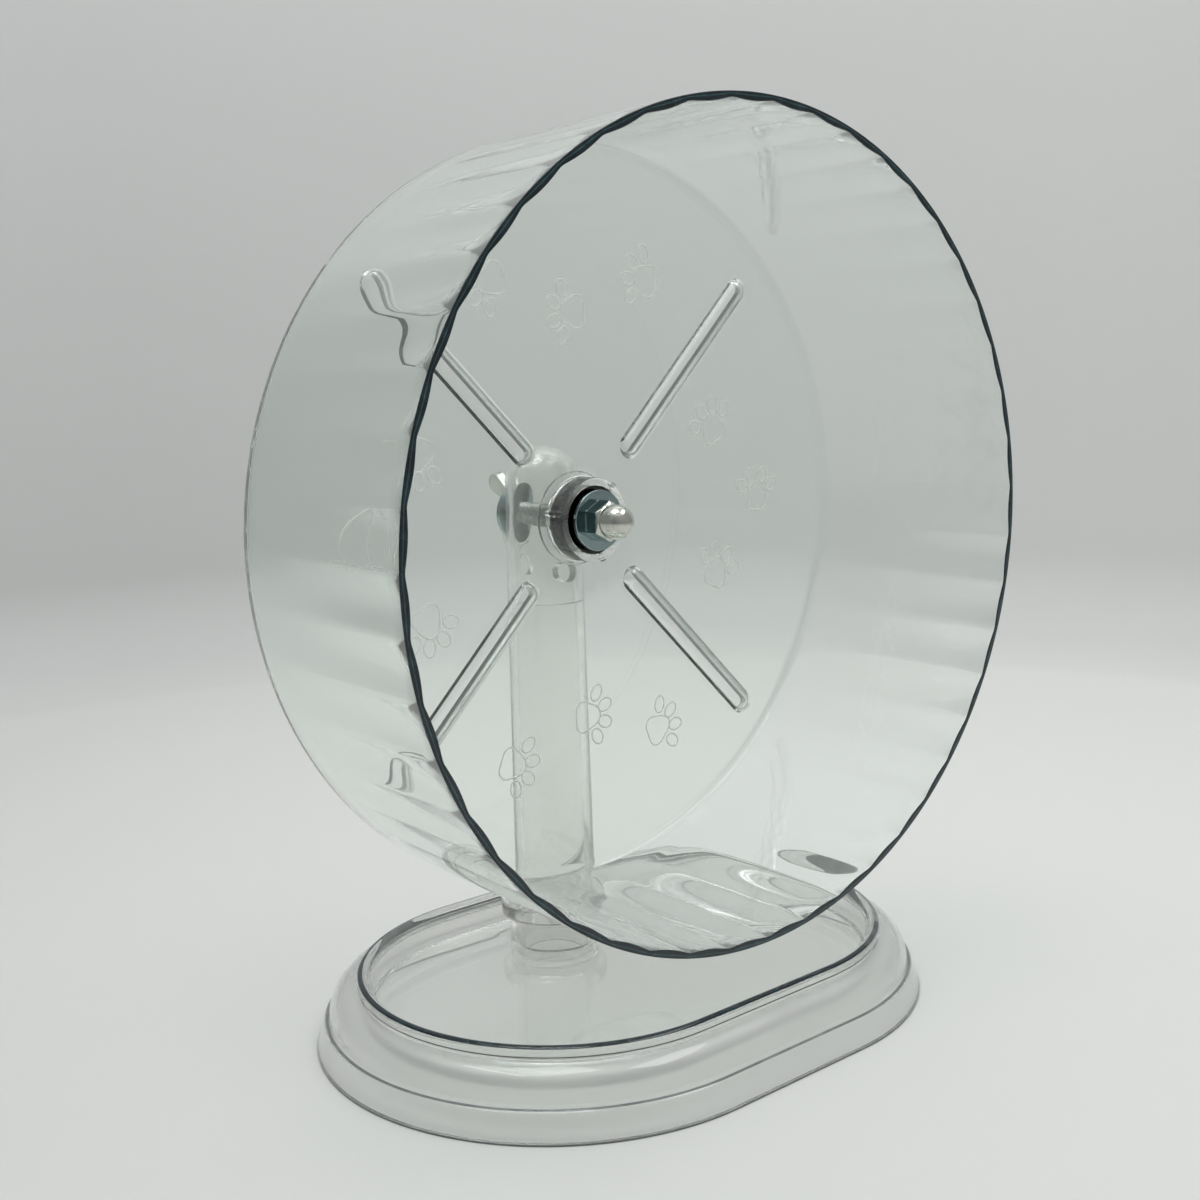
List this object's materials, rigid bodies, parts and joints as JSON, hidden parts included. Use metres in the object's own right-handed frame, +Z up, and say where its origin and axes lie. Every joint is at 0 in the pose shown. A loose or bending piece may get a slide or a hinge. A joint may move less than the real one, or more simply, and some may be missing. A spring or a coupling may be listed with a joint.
{
  "type": "hamster wheel",
  "caption": "Clear plastic hamster wheel: a rippled open-front drum with a ribbed back disc turns on a ball bearing at the top of a round post that plugs into an oval tray base.",
  "frame": {"origin": "middle of the base's footprint, on the surface that it stands on", "axes": "+Z up; the wheel's axle lies along Y and the open front faces -Y; +X is along the base's long side"},
  "size_m": [0.21, 0.1354, 0.242],
  "materials": {
    "clear_plastic": "clear, polished",
    "bearing_steel": "ground",
    "polished_steel": "polished",
    "pressed_steel": "pressed sheet",
    "zinc_steel": "bright zinc plate",
    "mirror_washer": "mirror"
  },
  "bodies": {
    "stand": {"base_tray": "clear_plastic", "post": "clear_plastic", "axle_stud": "zinc_steel", "spacer_sleeve": "zinc_steel", "bearing_inner_ring": "bearing_steel", "shim_ring": "zinc_steel", "front_washer": "mirror_washer", "cap_nut": "polished_steel", "rear_washer": "mirror_washer", "wing_nut": "zinc_steel"},
    "wheel": {"wheel_drum": "clear_plastic", "bearing_outer_ring": "bearing_steel", "bearing_front_shield": "pressed_steel", "bearing_rear_shield": "pressed_steel"},
    "ball_set": {"bearing_balls": "polished_steel", "bearing_cage": "pressed_steel"}
  },
  "joints": [
    {"name": "wheel_spin", "type": "hinge", "parent": "stand", "child": "wheel", "pos_m": [0, 0.0125, 0.137], "axis": [0, 1, 0], "continuous": true},
    {"name": "ball_set_spin", "type": "hinge", "parent": "stand", "child": "ball_set", "pos_m": [0, 0.0125, 0.137], "axis": [0, 1, 0], "continuous": true}
  ],
  "couplings": [
    {"joint": "ball_set_spin", "follows": "wheel_spin", "ratio": 0.6394}
  ]
}
